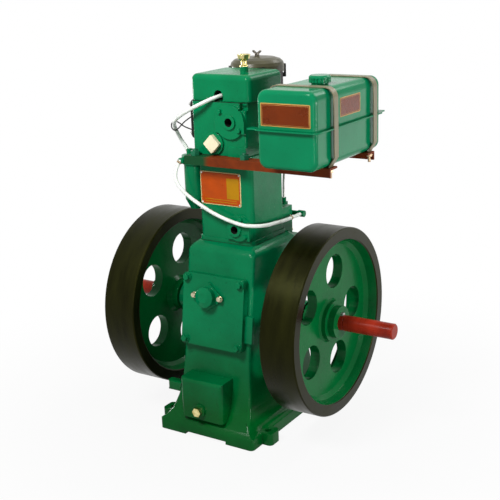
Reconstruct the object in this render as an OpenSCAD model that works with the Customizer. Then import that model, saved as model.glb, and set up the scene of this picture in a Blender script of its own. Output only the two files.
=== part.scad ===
// Vertical single-cylinder slow speed diesel engine on its own cast base.
// Origin at the middle of the base's underside, X along the crankshaft, front towards -Y, Z up.

/* [Crankshaft and flywheels] */
// Height of the crankshaft axis above the base
crank_z = 372; // [350:1:420]
// Diameter of the crankshaft
shaft_d = 50; // [40:1:56]
// Overall length of the crankshaft
shaft_l = 1074; // [960:2:1200]
// Outer diameter of a flywheel
wheel_d = 600; // [520:2:640]
// Width of a flywheel rim
rim_w = 118; // [90:1:140]
// Radial thickness of a flywheel rim
rim_t = 38; // [28:1:50]
// Distance from the middle of the engine to the inner face of a rim
wheel_inner_x = 237; // [225:1:260]
// Thickness of a flywheel web
web_t = 33; // [24:1:44]
// Diameter of a flywheel hub
hub_d = 104; // [90:1:120]
// Diameter of the lightening holes in a web
web_hole_d = 108; // [80:1:112]
// Pitch radius of the lightening holes
web_hole_pitch_r = 156; // [140:1:165]
// Number of lightening holes
web_holes = 5; // [4:1:5]
// Turn of the first lightening hole up from the rear
web_hole_turn = 4; // [0:1:30]

/* [Crankcase] */
// Width of the crankcase at its top
case_w = 250; // [240:1:262]
// Depth of the crankcase at its top edge
case_top_d = 272; // [266:1:300]
// Depth of the crankcase where the foot starts to flare
case_foot_d = 398; // [380:1:410]
// Height of the crankcase top edge
case_top_z = 594; // [585:1:602]
// Width of the base
base_w = 360; // [344:1:372]
// Depth of the base
base_d = 532; // [512:1:550]
// Thickness of the base edge
base_t = 34; // [24:1:44]
// Height where the front and rear start to flare
front_flare_z = 150; // [130:1:180]
// Height where the sides start to flare
side_flare_z = 280; // [250:1:284]
// Distance between holding-down holes across the engine
foot_hole_x = 370; // [362:1:380]
// Distance between holding-down holes along the engine
foot_hole_y = 360; // [330:1:390]
// Diameter of the holding-down holes
foot_hole_d = 22; // [16:1:26]

/* [Door, breather and sump box] */
// Width of the crankcase door
door_w = 230; // [212:1:236]
// Height of the crankcase door along its slope
door_h = 233; // [216:1:240]
// Height of the middle of the door
door_z = 403; // [396:1:412]
// Thickness of the door
door_t = 25; // [18:1:30]
// Diameter of the breather cap
breather_d = 65; // [50:1:75]
// Width of the sump box
sump_w = 158; // [140:1:166]
// Height of the sump box
sump_h = 134; // [120:1:150]
// Height of the sump box's underside
sump_z = 62; // [55:1:75]
// Distance from the engine's middle to the sump box's front face
sump_front_y = 262; // [255:1:275]

/* [Cylinder, head and rocker cover] */
// Width of the cylinder block
cyl_w = 198; // [180:1:204]
// Depth of the cylinder block
cyl_d = 200; // [190:1:206]
// Height of the joint between the cylinder and the head
joint_z = 893; // [880:1:905]
// Width of the cylinder head
head_w = 198; // [190:1:204]
// Distance from the engine's middle to the head's front face
head_front_y = 105; // [102:1:110]
// Distance from the engine's middle to the head's rear face
head_rear_y = 100; // [96:1:102]
// Height of the joint between the head and the rocker cover
cover_z = 1060; // [1052:1:1064]
// Width of the rocker cover
cover_w = 218; // [208:1:226]
// Depth of the rocker cover
cover_d = 196; // [186:1:200]
// Height of the rocker cover
cover_h = 80; // [72:1:92]
// Radius of the rocker cover's rounded edges
cover_r = 18; // [10:1:24]
// Bore of the two water ports
water_bore_d = 26; // [20:1:30]
// Bore of the exhaust flange
exhaust_bore_d = 38; // [30:1:44]

/* [Fuel tank] */
// Width of the fuel tank across the engine
tank_w = 192; // [170:1:204]
// Length of the fuel tank
tank_l = 412; // [390:1:430]
// Height of the fuel tank
tank_h = 227; // [190:1:236]
// Distance from the engine's middle to the tank's inner side
tank_x = 204; // [198:1:216]
// Distance from the engine's middle to the tank's front end
tank_front_y = 222; // [215:1:232]
// Radius of the tank's long edges
tank_r = 28; // [20:1:36]
// Width of a tank strap
strap_w = 25; // [20:1:30]
// Thickness of a tank strap
strap_t = 3; // [2:0.5:4]
// Diameter of the filler cap
tank_cap_d = 64; // [56:1:72]
// Height of the filler cap
tank_cap_h = 21; // [18:1:28]
// Width of the bracket angle's flat leg
bracket_w = 46; // [42:1:52]
// Height of the bracket angle's upright leg
bracket_h = 27; // [22:1:34]
// Thickness of the bracket angle
bracket_t = 6; // [5:0.5:8]

/* [Air cleaner, filter and fuel pump] */
// Diameter of the air cleaner bowl
bowl_d = 168; // [156:1:172]
// Height of the air cleaner bowl
bowl_h = 108; // [90:1:116]
// Height of the air cleaner bowl's underside
bowl_z = 1022; // [1015:1:1030]
// Distance from the engine's middle back to the air cleaner's axis
bowl_y = 200; // [198:1:204]
// Outer diameter of the inlet elbow
elbow_d = 50; // [40:1:56]
// Diameter of the fuel filter bowl
filter_d = 66; // [58:1:70]
// Height of the fuel filter bowl
filter_h = 148; // [130:1:160]
// Diameter of the plastic fuel tubes
tube_d = 12; // [9:1:12]

/* [Hidden] */
$fn = 64;
hull_fn = 32;
// One length that lets every cut run past its surface
overrun = 1;
// Running clearance of the shaft in its bearings, on the radius
bearing_clear = 0.05;
// Clearance of pieces that are keyed, spigoted or dropped in, on each side
fit_clear = 0.05;
// Seating clearance under bands and straps that follow a curve
seat_clear = 0.3;

// Flywheels
shaft_r = shaft_d / 2;
shaft_chamfer = 3;
shaft_groove_w = 4;
shaft_groove_t = 1.5;
wheel_r = wheel_d / 2;
rim_r = wheel_r - rim_t;
rim_bevel = 3;
rim_draft = 7;
wheel_mid_x = wheel_inner_x + rim_w / 2;
wheel_outer_x = wheel_inner_x + rim_w;
web_low_x = wheel_mid_x - web_t / 2;
web_high_x = wheel_mid_x + web_t / 2;
web_fillet = 12;
hub_r = hub_d / 2;
hub_step_d = 130;
hub_step_l = 20;
hub_inset = 8;
key_w = 14;
key_h = 12;
key_l = 64;
key_proud = 9;
key_z = crank_z + shaft_r - key_h / 2;
shaft_groove_x = wheel_outer_x + key_proud + shaft_groove_w;

// Crankcase and base
shoulder_h = 19;
shoulder_in = 22;
cyl_foot_z = case_top_z + shoulder_h;
base_r = 14;
rail_gap_w = 156;
rail_gap_h = 10;
foot_boss_d = 56;
foot_boss_h = 5;
foot_boss_r = 14;
foot_spot_d = 46;
bearing_bore_d = 120;
crank_chamber_d = 90;
// Lifting lug on the left wall, low down near the front
side_lug_x = 198;
side_lug_y = -176;
side_lug_z = 120;
side_lug_w = 30;
side_lug_h = 34;
side_lug_r = 6;
side_lug_l = 80;
// Share of the flare against share of the drop, from the wall down to the base
side_flare_shares = [[0, 0], [0.03, 0.2], [0.09, 0.38], [0.17, 0.56], [0.29, 0.72], [0.45, 0.86],
    [0.68, 0.95], [1, 1]];
front_flare_shares = [[0, 0], [0.08, 0.18], [0.2, 0.36], [0.36, 0.54], [0.56, 0.72], [0.78, 0.88],
    [1, 1]];
front_tilt = atan2((case_foot_d - case_top_d) / 2, case_top_z - front_flare_z);
// Distance from the middle to the crankcase's sloping front or rear face at a height
function face_y(z) = case_top_d / 2 + (case_top_z - z) * tan(front_tilt);

// Bearing housings
bearing_spigot_l = 36;
bearing_flange_d = 176;
bearing_flange_t = 16;
bearing_boss_d = 100;
bearing_boss_l = 96;
bearing_bolt_d = 20;
bearing_bolt_h = 9;
bearing_bolts = 6;

// Door, breather and sump box
door_r = 14;
// Place of the door's middle across the front
door_x = -5;
// Gasket gap that seats the door on the sloping face
door_seat = 0.02;
door_boss_d = 30;
door_boss_h = 4;
door_boss_inset = 16;
// Ear on the door's right edge that reaches round the corner of the casting
door_ear_w = 28;
door_ear_h = 86;
door_ear_t = 12;
door_ear_share = -0.173;
breather_h = 20;
breather_flange_t = 8;
breather_flange_l = 117;
breather_flange_w = 40;
breather_flange_h = 94;
breather_share = [-0.07, 0.208];
breather_dome_h = 7;
sump_x = -12;
sump_r = 12;
plug_x = -21;
plug_z = 93;
plug_boss_d = 46;
plug_boss_t = 6;
plug_af = 27;
plug_t = 12;

// Camshaft housing, fuel pump and push rods at the rear
cam_w = 196;
cam_h = 176;
cam_r = 16;
cam_z = 400;
cam_rear_y = 220;
cam_top_z = cam_z + cam_h;
chest_w = 196;
chest_d = 49;
chest_top_z = 691;
chest_rear_y = cyl_d / 2 + chest_d;
pump_x = 48;
pump_y = 182;
pump_w = 44;
pump_d = 40;
pump_h = 98;
pump_valve_d = 26;
pump_valve_h = 30;
pump_valve_neck_d = 16;
pump_union_z = 655;
pump_union_d = 16;
pump_union_end_x = 126;
pump_banjo_d = 22;
pump_banjo_l = 22;
pump_banjo_x = 115;
pushrod_xs = [10, 42];
pushrod_d = 22;
pushrod_foot_d = 30;
pushrod_foot_h = 12;
pushrod_y = cyl_d / 2 + chest_d / 2;
head_chest_x = 26;
head_chest_w = 72;
head_chest_d = 50;
head_chest_h = 96;
head_chest_rise = 12;
head_chest_z = joint_z + head_chest_rise;
injector_x = 76;
injector_z = 962;
injector_union_d = 22;
injector_union_l = 24;
pipe_d = 8;

// Cylinder and head
cyl_r = 20;
cyl_h = joint_z - cyl_foot_z;
cyl_foot_h = 14;
cyl_foot_out = 4;
port_depth = 60;
port_ring_d = 46;
port_ring_t = 5;
low_port_x = 43;
low_port_z = 663;
low_pad_x = 54;
low_pad_r = 42;
low_pad_t = 12;
low_pad_foot = 38;
head_r = 10;
// Place of the head's middle across the engine
head_x = -7;
head_left_x = head_x - head_w / 2;
head_h = cover_z - joint_z;
head_d = head_front_y + head_rear_y;
head_mid_y = (head_rear_y - head_front_y) / 2;
head_port_x = 37;
head_port_z = 1000;
head_pad_t = 8;
head_pad_r = 53;
head_pad_foot = 34;
head_lug_x = 59;
head_lug_w = 66;
head_lug_h = 31;
head_lug_t = 5;
head_notch_w = 20;
head_notch_h = 24;
head_notch_d = 16;
plug_pad_d = 70;
plug_pad_t = 6;
compression_x = -25;
compression_z = 931;
compression_side = 42;
compression_t = 14;
compression_r = 4;
// Place of the rocker cover's middle
cover_x = -7;
cover_y = 5;
slot_x = -12;
slot_z = 1078;
slot_d = 30;
slot_drop_x = 3;
slot_drop_z = 8;
slot_depth = 46;
cup_x = 32;
cup_y = -10;
cup_stub_d = 27;
cup_stub_h = 17;
cup_h = 37;
cup_top_d = 42;
cup_waist_d = 18;
cup_foot_d = 26;
cup_wall = 3;
cup_bowl_h = 16;
stud_share = 0.6;
stud_y = cyl_d / 2 + bracket_w * stud_share;
stud_left_x = -84;
stud_right_x = 98;
stud_rear_x = 84;
stud_places = [[stud_left_x, -stud_y], [stud_right_x, -stud_y], [stud_rear_x, stud_y]];
stud_d = 16;
stud_proud = 6;
stud_nut_af = 26;
stud_nut_h = 15;

// Exhaust
exhaust_y = -48;
exhaust_z = 998;
exhaust_plate_w = 92;
exhaust_plate_h = 122;
exhaust_plate_t = 12;
exhaust_plate_r = 16;
exhaust_face_x = head_left_x - exhaust_plate_t;

// Fuel tank, straps and brackets
tank_edge_r = 14;
tank_mid_x = tank_x + tank_w / 2;
tank_outer_x = tank_x + tank_w;
tank_z = joint_z;
tank_top_z = tank_z + tank_h;
seam_share = 0.507;
seam_z = tank_z + tank_h * seam_share;
seam_t = 4;
seam_out = 12;
tab_l = 34;
tab_w = 30;
// Where each strap crosses the flat leg of its bracket
strap_shares = [0.52, 0.67];
strap_ys = [-cyl_d / 2 - bracket_w * strap_shares[0], cyl_d / 2 + bracket_w * strap_shares[1]];
// Stand-off of the straps at the tank's sides, where they bear on the seam
strap_gap = 10;
strap_foot_h = 30;
tank_cap_x = 324;
tank_cap_y = -62;
tank_neck_d = 50;
tank_neck_h = 6;
cap_grips = 20;
cap_grip_d = 5;
cap_round = 4;
bracket_left_over = 15;
bracket_left_x = -cyl_w / 2 - bracket_left_over;
bracket_rear_left_x = 60;
bracket_over = 2;
bracket_right_x = tank_outer_x + bracket_over;
bolt_d = 9;
// Distance of the strap bolts in from the tank's sides
bolt_in = 8;
bolt_drop = 32;
bolt_nut_af = 17;
bolt_nut_h = 9;

// Air cleaner
bowl_x = -52;
bowl_r = 10;
lid_over = 5;
lid_h = 36;
lid_skirt = 12;
// Radius and height of the lid's crown, as shares of the lid's own
lid_shares = [[1, 0.22], [0.96, 0.5], [0.85, 0.75], [0.65, 0.91], [0.3, 1], [0, 1]];
wing_hub_d = 16;
wing_hub_h = 12;
wing_span = 26;
wing_rise = 16;
wing_t = 6;
clip_w = 20;
clip_t = 5;
clip_h = 42;
clip_drop = 34;
clip_foot_h = 12;
clips = 4;
clip_turn = 40;
elbow_wall = 5;
elbow_bend_r = 44;
elbow_z = 962;
elbow_flange_w = 76;
elbow_flange_h = 60;
elbow_flange_t = 10;
elbow_flange_r = 14;

// Fuel filter
filter_x = -139;
filter_y = -60;
filter_top_z = 852;
filter_tip_d = 34;
filter_round = 16;
filter_head_h = 26;
filter_head_d = 78;
filter_lug_w = 40;
union_d = 20;
union_h = 16;
union_in = [-165, -46];
union_out = [-158, -88];
union_out_l = 20;

// Wire eye and tubes
wire_d = 4;
wire_sides = 8;
tube_sides = 10;
route_steps = 3;

// Middle line of the wire eye that holds the return tube, from the exhaust plate and back
wire_route = [[-118, -85, 1008], [-146, -86, 990], [-160, -87, 978], [-174, -88, 965], [-187, -88, 958],
    [-198, -87, 963], [-202, -86, 973], [-197, -85, 983], [-186, -84, 987], [-172, -83, 982],
    [-159, -82, 974], [-146, -82, 969], [-118, -82, 962]];
// Middle line of the return tube, from the slot in the rocker cover to the fuel filter
return_route = [[-4, -62, 1076], [-10, -86, 1075], [-26, -109, 1068], [-57, -126, 1053], [-98, -132, 1033],
    [-137, -127, 1012], [-168, -112, 993], [-188, -88, 972], [-196, -64, 947], [-194, -48, 921],
    [-181, -42, 898], [-165, -46, 878]];
// Middle line of the fuel tube, from the fuel filter round the cylinder to the fuel pump
fuel_route = [[-160, -104, 867], [-166, -112, 852], [-169, -120, 834], [-166, -127, 814], [-154, -132, 794],
    [-132, -133, 773], [-102, -131, 752], [-66, -129, 732], [-26, -127, 713], [18, -125, 698],
    [58, -125, 689], [86, -123, 685], [107, -113, 683], [120, -94, 680], [125, -68, 676],
    [124, -36, 671], [119, 0, 666], [117, 54, 660], [116, 112, 657], [115, 173, 655]];
// Middle line of the steel pipe from the fuel pump to the injector
injector_route = [[48, 182, 703], [48, 182, 730], [50, 181, 770], [56, 178, 810], [64, 174, 850],
    [71, 168, 890], [75, 160, 925], [76, 148, 950], [76, 134, 961], [76, 123, 962]];

enamel = [0.0, 0.45, 0.28];
oxide = [0.45, 0.17, 0.06];
shaft_red = [0.55, 0.16, 0.09];
strap_grey = [0.5, 0.47, 0.4];
brass_yellow = [0.8, 0.68, 0.3];
steel_grey = [0.55, 0.55, 0.52];
black_iron = [0.08, 0.08, 0.08];
cream = [0.95, 0.9, 0.72];
tube_white = [0.94, 0.94, 0.92];

// Upright block with round upright edges, standing on the origin
module rounded_block(w, d, h, r) {
    linear_extrude(h) rounded_plan(w, d, r);
}

module rounded_plan(w, d, r) {
    square([w - 2 * r, d], center = true);
    square([w, d - 2 * r], center = true);
    for (x = [-1, 1], y = [-1, 1]) translate([x * (w / 2 - r), y * (d / 2 - r)]) circle(r);
}

// Round bar along X from one place to another
module bar_x(d, x0, x1) {
    translate([x0, 0, 0]) rotate([0, 90, 0]) cylinder(d = d, h = x1 - x0);
}

// Round bar along Y, towards the front from a place
module bar_front(d, h) {
    rotate([90, 0, 0]) cylinder(d = d, h = h);
}

module hex_prism(af, h) {
    cylinder(d = af / cos(30), h = h, $fn = 6);
}

// Puts a flat piece on the sloping front face of the crankcase, its Z outwards
module on_front(x, z) {
    translate([x, -face_y(z), z]) rotate([90 - front_tilt, 0, 0]) children();
}

module both_sides() {
    children();
    mirror([1, 0, 0]) children();
}

// Smooth curve through hand-chosen points
function curve_point(a, b, c, d, t) =
    (2 * b + (c - a) * t + (2 * a - 5 * b + 4 * c - d) * t * t + (3 * b - a - 3 * c + d) * t * t * t) / 2;
function smooth_route(p, steps) = let (last = len(p) - 1) concat(
    [for (i = [0:last - 1], s = [0:steps - 1])
        curve_point(p[max(i - 1, 0)], p[i], p[i + 1], p[min(i + 2, last)], s / steps)], [p[last]]);
function unit(v) = v / norm(v);
function route_direction(p, i) = unit(p[min(i + 1, len(p) - 1)] - p[max(i - 1, 0)]);
// Side vectors that turn as little as they can along the route
function route_sides(p, i, side) = let (t = route_direction(p, i), n = unit(side - t * (side * t)))
    i == len(p) - 1 ? [n] : concat([n], route_sides(p, i + 1, n));

module swept_tube(route, d, sides) {
    p = smooth_route(route, route_steps);
    start = route_direction(p, 0);
    n = route_sides(p, 0, cross(start, abs(start[2]) > abs(start[0]) ? [1, 0, 0] : [0, 0, 1]));
    rings = len(p);
    points = [for (i = [0:rings - 1], k = [0:sides - 1])
        let (a = 360 * k / sides, b = cross(route_direction(p, i), n[i]))
        p[i] + (n[i] * cos(a) + b * sin(a)) * d / 2];
    walls = [for (i = [0:rings - 2], k = [0:sides - 1])
        let (j = (k + 1) % sides)
        [i * sides + k, (i + 1) * sides + k, (i + 1) * sides + j, i * sides + j]];
    caps = [[for (k = [0:sides - 1]) k], [for (k = [0:sides - 1]) rings * sides - 1 - k]];
    polyhedron(points, concat(walls, caps));
}

function flare_points(wall, edge, top, foot, shares) =
    [for (s = shares) [wall + (edge - wall) * s[0], top - (top - foot) * s[1]]];

// Outline of half the crankcase, closed on the middle line, with the flare at its foot
function case_outline(top, foot, edge, flare_z, shares) = concat(
    [[0, cyl_foot_z], [top - shoulder_in, cyl_foot_z], [top, case_top_z]],
    flare_points(foot, edge, flare_z, base_t, shares), [[edge, 0], [0, 0]]);

module mirrored_outline(points) {
    polygon(points);
    mirror([1, 0]) polygon(points);
}

// Outer form of the casting: the front view and the side view cut from one block
module crankcase_form() {
    intersection() {
        rotate([90, 0, 0]) linear_extrude(base_d, center = true)
            mirrored_outline(case_outline(case_w / 2, case_w / 2, base_w / 2, side_flare_z,
                side_flare_shares));
        rotate([90, 0, 90]) linear_extrude(base_w, center = true)
            mirrored_outline(case_outline(case_top_d / 2, case_foot_d / 2, base_d / 2, front_flare_z,
                front_flare_shares));
        rounded_block(base_w, base_d, cyl_foot_z, base_r);
    }
}

module foot_places() {
    for (x = [-1, 1], y = [-1, 1]) translate([x * foot_hole_x / 2, y * foot_hole_y / 2, 0]) children();
}

module crankcase() {
    color(enamel) difference() {
        union() {
            crankcase_form();
            foot_places() rounded_block(foot_boss_d, foot_boss_d, base_t + foot_boss_h, foot_boss_r);
            translate([-side_lug_x, side_lug_y, side_lug_z]) rotate([0, 90, 0])
                rounded_block(side_lug_h, side_lug_w, side_lug_l, side_lug_r);
        }
        translate([-rail_gap_w / 2, -base_d / 2 - overrun, -overrun])
            cube([rail_gap_w, base_d + 2 * overrun, rail_gap_h + overrun]);
        foot_places() translate([0, 0, -overrun])
            cylinder(d = foot_hole_d, h = base_t + foot_boss_h + 2 * overrun);
        foot_places() translate([0, 0, base_t + foot_boss_h]) cylinder(d = foot_spot_d, h = base_t);
        translate([0, 0, crank_z]) {
            bar_x(crank_chamber_d, -case_w, case_w);
            both_sides() bar_x(bearing_bore_d, case_w / 2 - bearing_spigot_l - fit_clear, case_w);
        }
    }
}

module crankcase_door() {
    boss_x = door_w / 2 - door_boss_inset;
    boss_z = door_h / 2 - door_boss_inset;
    color(enamel) on_front(door_x, door_z) translate([0, 0, door_seat]) {
        rounded_block(door_w, door_h, door_t, door_r);
        translate([door_w / 2 - door_r, door_h * door_ear_share - door_ear_h / 2, 0])
            cube([door_r + door_ear_w, door_ear_h, door_ear_t]);
        for (x = [-1, 1], z = [-1, 1]) translate([x * boss_x, z * boss_z])
            cylinder(d = door_boss_d, h = door_t + door_boss_h);
    }
}

module breather_cap() {
    flange_end = breather_flange_w / 4;
    flange_mid = breather_flange_h / 2;
    bolt_x = breather_flange_l / 2 - flange_end;
    color(enamel) on_front(door_x + door_w * breather_share[0], door_z)
        translate([0, door_h * breather_share[1], door_t + door_seat]) {
        linear_extrude(breather_flange_t) {
            circle(breather_d / 2 + breather_flange_t / 2);
            polygon([[-bolt_x, -flange_end], [0, -flange_mid], [bolt_x, -flange_end], [bolt_x, flange_end],
                [0, flange_mid], [-bolt_x, flange_end]]);
            for (x = [-1, 1]) translate([x * bolt_x, 0]) circle(flange_end);
        }
        cylinder(d = breather_d, h = breather_flange_t + breather_h);
        translate([0, 0, breather_flange_t + breather_h])
            cylinder(d1 = breather_d, d2 = breather_d / 2, h = breather_dome_h);
    }
}

module sump_box() {
    box_d = sump_front_y - case_top_d / 2;
    box_y = -sump_front_y + box_d / 2;
    color(enamel) difference() {
        union() {
            intersection() {
                translate([sump_x, box_y, sump_z]) rounded_block(sump_w, box_d, sump_h, sump_r);
                translate([sump_x, box_y, sump_z]) rotate([90, 0, 90])
                    linear_extrude(sump_w, center = true) rounded_plan(box_d, 2 * sump_h, sump_r);
            }
            translate([plug_x, -sump_front_y, plug_z]) bar_front(plug_boss_d, plug_boss_t);
        }
        crankcase_form();
    }
}

module drain_plug() {
    color(brass_yellow) translate([plug_x, -sump_front_y - plug_boss_t, plug_z]) rotate([90, 0, 0])
        hex_prism(plug_af, plug_t);
}

module bearing_housing() {
    color(enamel) translate([0, 0, crank_z]) difference() {
        union() {
            bar_x(bearing_bore_d - 2 * fit_clear, case_w / 2 - bearing_spigot_l, case_w / 2);
            bar_x(bearing_flange_d, case_w / 2, case_w / 2 + bearing_flange_t);
            bar_x(bearing_boss_d, case_w / 2, case_w / 2 + bearing_flange_t + bearing_boss_l);
            for (i = [0:bearing_bolts - 1]) rotate([360 * i / bearing_bolts, 0, 0])
                translate([0, (bearing_flange_d + bearing_bore_d) / 4, 0])
                bar_x(bearing_bolt_d, case_w / 2, case_w / 2 + bearing_flange_t + bearing_bolt_h);
        }
        bar_x(shaft_d + 2 * bearing_clear, 0, case_w);
    }
}

module bearing_housing_left() { mirror([1, 0, 0]) bearing_housing(); }

module bearing_housing_right() { bearing_housing(); }

module cam_housing() {
    color(enamel) difference() {
        translate([0, cam_rear_y / 2, cam_z]) rounded_block(cam_w, cam_rear_y, cam_h, cam_r);
        crankcase_form();
        translate([-cam_w, -case_w, 0]) cube([2 * cam_w, case_w, cyl_foot_z]);
    }
}

module pushrod_tubes() {
    color(steel_grey) for (x = pushrod_xs) translate([x, pushrod_y, chest_top_z]) {
        cylinder(d = pushrod_foot_d, h = pushrod_foot_h);
        cylinder(d = pushrod_d, h = head_chest_z - chest_top_z);
    }
}

module fuel_pump() {
    color(steel_grey) {
        translate([pump_x, pump_y, cam_top_z]) {
            rounded_block(pump_w, pump_d, pump_h, cam_r / 2);
            cylinder(d = pump_valve_neck_d, h = pump_h + pump_valve_h);
            translate([0, 0, pump_h]) hex_prism(pump_valve_d, pump_valve_h / 2);
        }
        translate([0, pump_y, pump_union_z]) {
            bar_x(pump_union_d, pump_x, pump_union_end_x);
            bar_x(pump_banjo_d, pump_banjo_x - pump_banjo_l / 2, pump_banjo_x + pump_banjo_l / 2);
        }
    }
}

module injector_pipe() {
    color(steel_grey) swept_tube(injector_route, pipe_d, tube_sides);
}

// Flat pad on a front face: a round top on a square foot
module port_pad(r, foot, t) {
    rotate([90, 0, 0]) linear_extrude(t) {
        circle(r);
        translate([-r, -foot]) square([2 * r, foot]);
    }
}

module cylinder_block() {
    color(enamel) difference() {
        union() {
            translate([0, 0, cyl_foot_z]) {
                rounded_block(cyl_w, cyl_d, cyl_h, cyl_r);
                rounded_block(cyl_w + 2 * cyl_foot_out, cyl_d + 2 * cyl_foot_out, cyl_foot_h, cyl_r);
            }
            translate([-chest_w / 2, 0, cyl_foot_z])
                cube([chest_w, chest_rear_y, chest_top_z - cyl_foot_z]);
            translate([low_pad_x, cyl_r - cyl_d / 2, low_port_z + port_ring_t])
                port_pad(low_pad_r, low_pad_foot, low_pad_t + cyl_r);
            translate([low_port_x, -cyl_d / 2 - low_pad_t, low_port_z]) bar_front(port_ring_d, port_ring_t);
        }
        translate([low_port_x, -cyl_d / 2 - low_pad_t - port_ring_t - overrun, low_port_z])
            rotate([-90, 0, 0]) cylinder(d = water_bore_d, h = port_depth + overrun);
    }
}

module cylinder_head() {
    color(enamel) difference() {
        union() {
            translate([head_x, head_mid_y, joint_z]) rounded_block(head_w, head_d, head_h, head_r);
            translate([head_port_x, head_r - head_front_y, head_port_z])
                port_pad(head_pad_r, head_pad_foot, head_pad_t + head_r);
            translate([head_port_x, -head_front_y - head_pad_t, head_port_z])
                bar_front(port_ring_d, port_ring_t);
            translate([compression_x, -head_front_y, compression_z]) bar_front(plug_pad_d, plug_pad_t);
            translate([head_lug_x - head_lug_w / 2, -head_front_y - head_lug_t, joint_z])
                cube([head_lug_w, head_lug_t + head_r, head_lug_h]);
            translate([head_chest_x - head_chest_w / 2, 0, head_chest_z])
                cube([head_chest_w, head_rear_y + head_chest_d, head_chest_h]);
            translate([injector_x, head_rear_y + injector_union_l, injector_z])
                bar_front(injector_union_d, 2 * injector_union_l);
        }
        translate([head_port_x, -head_front_y - head_pad_t - port_ring_t - overrun, head_port_z])
            rotate([-90, 0, 0]) cylinder(d = water_bore_d, h = port_depth + overrun);
        translate([head_left_x + head_w - head_notch_w, -head_front_y - head_pad_t - overrun,
            cover_z - head_notch_h])
            cube([head_w, head_notch_d + head_pad_t + overrun, head_notch_h + overrun]);
    }
}

module rocker_cover() {
    color(enamel) difference() {
        union() {
            hull() for (x = [-1, 1], y = [-1, 1])
                translate([cover_x + x * (cover_w / 2 - cover_r), cover_y + y * (cover_d / 2 - cover_r),
                    cover_z]) {
                cylinder(r = cover_r, h = cover_r, $fn = hull_fn);
                translate([0, 0, cover_h - cover_r]) sphere(cover_r, $fn = hull_fn);
            }
            translate([cup_x, cup_y, cover_z]) cylinder(d = cup_stub_d, h = cover_h + cup_stub_h);
        }
        for (s = [0, 1]) translate([slot_x + s * slot_drop_x, cover_y - cover_d / 2 + slot_depth,
            slot_z - s * slot_drop_z]) bar_front(slot_d, slot_depth + overrun);
    }
}

module oil_cup() {
    bowl_z = cup_h - cup_bowl_h;
    color(brass_yellow) translate([cup_x, cup_y, cover_z + cover_h + cup_stub_h]) rotate_extrude()
        polygon([[0, 0], [cup_foot_d / 2, 0], [cup_foot_d / 2, cup_wall], [cup_waist_d / 2, cup_wall * 2],
            [cup_waist_d / 2, bowl_z - cup_wall], [cup_top_d / 2 - cup_wall, bowl_z + cup_wall],
            [cup_top_d / 2, cup_h], [cup_top_d / 2 - cup_wall, cup_h],
            [cup_waist_d / 2, bowl_z + cup_wall], [0, bowl_z + cup_wall]]);
}

module compression_plug() {
    color(cream) translate([compression_x, -head_front_y - plug_pad_t, compression_z])
        rotate([90, 45, 0]) rounded_block(compression_side, compression_side, compression_t, compression_r);
}

module head_studs() {
    color(steel_grey) for (place = stud_places) translate([place[0], place[1], joint_z]) {
        hex_prism(stud_nut_af, stud_nut_h);
        cylinder(d = stud_d, h = stud_nut_h + stud_proud);
    }
}

module exhaust_flange() {
    color(black_iron) translate([0, exhaust_y, exhaust_z]) difference() {
        translate([exhaust_face_x, 0, 0]) rotate([90, 0, 90]) linear_extrude(exhaust_plate_t)
            rounded_plan(exhaust_plate_w, exhaust_plate_h, exhaust_plate_r);
        bar_x(exhaust_bore_d, exhaust_face_x - overrun, head_left_x + overrun);
    }
}

module air_cleaner_bowl() {
    r = bowl_d / 2;
    color(black_iron) translate([bowl_x, bowl_y, bowl_z]) rotate_extrude()
        polygon([[elbow_d / 2, 0], [r - bowl_r, 0], [r, bowl_r], [r, bowl_h], [0, bowl_h],
            [0, bowl_r], [elbow_d / 2, bowl_r]]);
}

module air_cleaner_lid() {
    r = bowl_d / 2 + lid_over;
    color(steel_grey) translate([bowl_x, bowl_y, bowl_z + bowl_h]) rotate_extrude()
        polygon(concat([[0, 0], [bowl_d / 2 + seat_clear, 0], [bowl_d / 2 + seat_clear, -lid_skirt],
            [r, -lid_skirt]], [for (s = lid_shares) [r * s[0], lid_h * s[1]]]));
}

module air_cleaner_wing_nut() {
    color(steel_grey) translate([bowl_x, bowl_y, bowl_z + bowl_h + lid_h]) {
        cylinder(d = wing_hub_d, h = wing_hub_h);
        for (x = [-1, 1]) hull() {
            translate([0, wing_t / 2, wing_hub_h / 2]) bar_front(wing_hub_h / 2, wing_t);
            translate([x * wing_span / 2, wing_t / 2, wing_rise]) bar_front(wing_hub_h / 2, wing_t);
        }
    }
}

module air_cleaner_clips() {
    lid_r = bowl_d / 2 + lid_over;
    color(black_iron) for (i = [0:clips - 1]) translate([bowl_x, bowl_y, bowl_z + bowl_h - clip_drop])
        rotate([0, 0, clip_turn + 360 * i / clips]) translate([0, -clip_w / 2, 0]) {
            translate([lid_r, 0, 0]) cube([clip_t, clip_w, clip_h]);
            translate([bowl_d / 2 + seat_clear, 0, 0]) cube([lid_over, clip_w, clip_foot_h]);
        }
}

module inlet_elbow() {
    flange_y = head_rear_y;
    color(enamel) translate([bowl_x, 0, 0]) difference() {
        union() {
            translate([0, flange_y + elbow_flange_t, elbow_z]) rotate([90, 0, 0])
                linear_extrude(elbow_flange_t) rounded_plan(elbow_flange_w, elbow_flange_h, elbow_flange_r);
            elbow_solid(elbow_d - 2 * fit_clear, 0);
        }
        elbow_solid(elbow_d - 2 * elbow_wall, overrun);
    }
}

// Pipe that leaves the head to the rear and bends up into the bowl
module elbow_solid(d, extra) {
    bend_y = bowl_y - elbow_bend_r;
    bend_z = elbow_z + elbow_bend_r;
    translate([0, bend_y, elbow_z]) bar_front(d, bend_y - head_rear_y + extra);
    translate([0, bend_y, bend_z]) rotate([0, 90, 0]) rotate_extrude(angle = 90)
        translate([elbow_bend_r, 0]) circle(d = d);
    translate([0, bowl_y, bend_z]) cylinder(d = d, h = bowl_z + bowl_r - bend_z + extra);
}

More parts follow.
